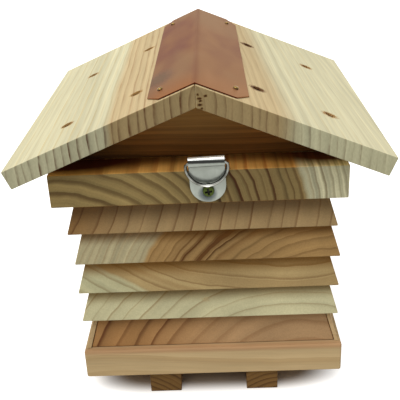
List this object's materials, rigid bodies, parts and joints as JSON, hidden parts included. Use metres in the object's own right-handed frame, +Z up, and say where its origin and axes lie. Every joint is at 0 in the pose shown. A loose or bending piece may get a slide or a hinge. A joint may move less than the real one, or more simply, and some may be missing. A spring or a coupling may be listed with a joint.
{
  "type": "birdhouse",
  "caption": "Wooden birdhouse like an old beehive: a stack of splayed lifts on a base with batten feet, a lift-off gabled roof with a copper ridge cap, and a D-ring hanger on the back.",
  "frame": {"origin": "on the ground under the middle of the roof, which is the bottom centre of the bounding box", "axes": "+X to the right of a viewer who faces the back, where the hanger is; +Y from the back to the front, where the entrance hole is; +Z up"},
  "size_m": [0.254, 0.25, 0.249],
  "materials": {
    "roof_wood": "bare planed softwood",
    "gable_wood": "bare planed softwood, darker",
    "batten_wood": "bare planed softwood",
    "eaves_wood": "bare planed softwood with sawn end grain",
    "lift_1_wood": "bare softwood with sawn end grain",
    "lift_2_wood": "bare softwood with sawn end grain",
    "lift_3_wood": "bare softwood with sawn end grain",
    "lift_4_wood": "bare softwood with sawn end grain",
    "lift_5_wood": "bare red-brown softwood with sawn end grain",
    "cheek_wood": "bare softwood",
    "base_wood": "bare planed softwood",
    "foot_wood": "bare softwood with sawn end grain",
    "copper_sheet": "dull satin copper sheet, lightly mottled",
    "brass_pin": "polished brass",
    "zinc_strap": "dull zinc plate",
    "ring_steel": "bright zinc plate",
    "zinc_screw": "yellow zinc plate",
    "yellow_zinc_screw": "yellow zinc plate"
  },
  "bodies": {
    "house": {"foot_left": "foot_wood", "foot_right": "foot_wood", "foot_screw_1": "zinc_screw", "foot_screw_2": "zinc_screw", "foot_screw_3": "zinc_screw", "foot_screw_4": "zinc_screw", "base_board": "base_wood", "lift_5": "lift_5_wood", "lift_5_cheek_left": "cheek_wood", "lift_5_cheek_right": "cheek_wood", "lift_4": "lift_4_wood", "lift_3": "lift_3_wood", "lift_2": "lift_2_wood", "lift_1": "lift_1_wood", "eaves_board": "eaves_wood", "eaves_screw_1": "zinc_screw", "eaves_screw_2": "zinc_screw", "eaves_screw_3": "zinc_screw", "eaves_screw_4": "zinc_screw", "hanger_plate": "zinc_strap", "hanger_screw": "yellow_zinc_screw"},
    "roof": {"gable_back": "gable_wood", "gable_front": "gable_wood", "locating_batten_back": "batten_wood", "locating_batten_front": "batten_wood", "roof_board_left": "roof_wood", "roof_board_right": "roof_wood", "roof_screw_left_1": "zinc_screw", "roof_screw_left_2": "zinc_screw", "roof_screw_left_3": "zinc_screw", "roof_screw_left_4": "zinc_screw", "roof_screw_right_1": "zinc_screw", "roof_screw_right_2": "zinc_screw", "roof_screw_right_3": "zinc_screw", "roof_screw_right_4": "zinc_screw", "ridge_cap": "copper_sheet", "cap_pin_back_left": "brass_pin", "cap_pin_front_left": "brass_pin", "cap_pin_back_right": "brass_pin", "cap_pin_front_right": "brass_pin"},
    "ring": {"hanger_ring": "ring_steel"}
  },
  "joints": [
    {"name": "roof_lift", "type": "slide", "parent": "house", "child": "roof", "axis": [0, 0, 1], "range_m": [0, 0.08]},
    {"name": "ring_swing", "type": "hinge", "parent": "house", "child": "ring", "pos_m": [0.005, -0.11575, 0.19284], "axis": [-0.9995, 0, -0.0332], "range_deg": [0, 270]}
  ]
}
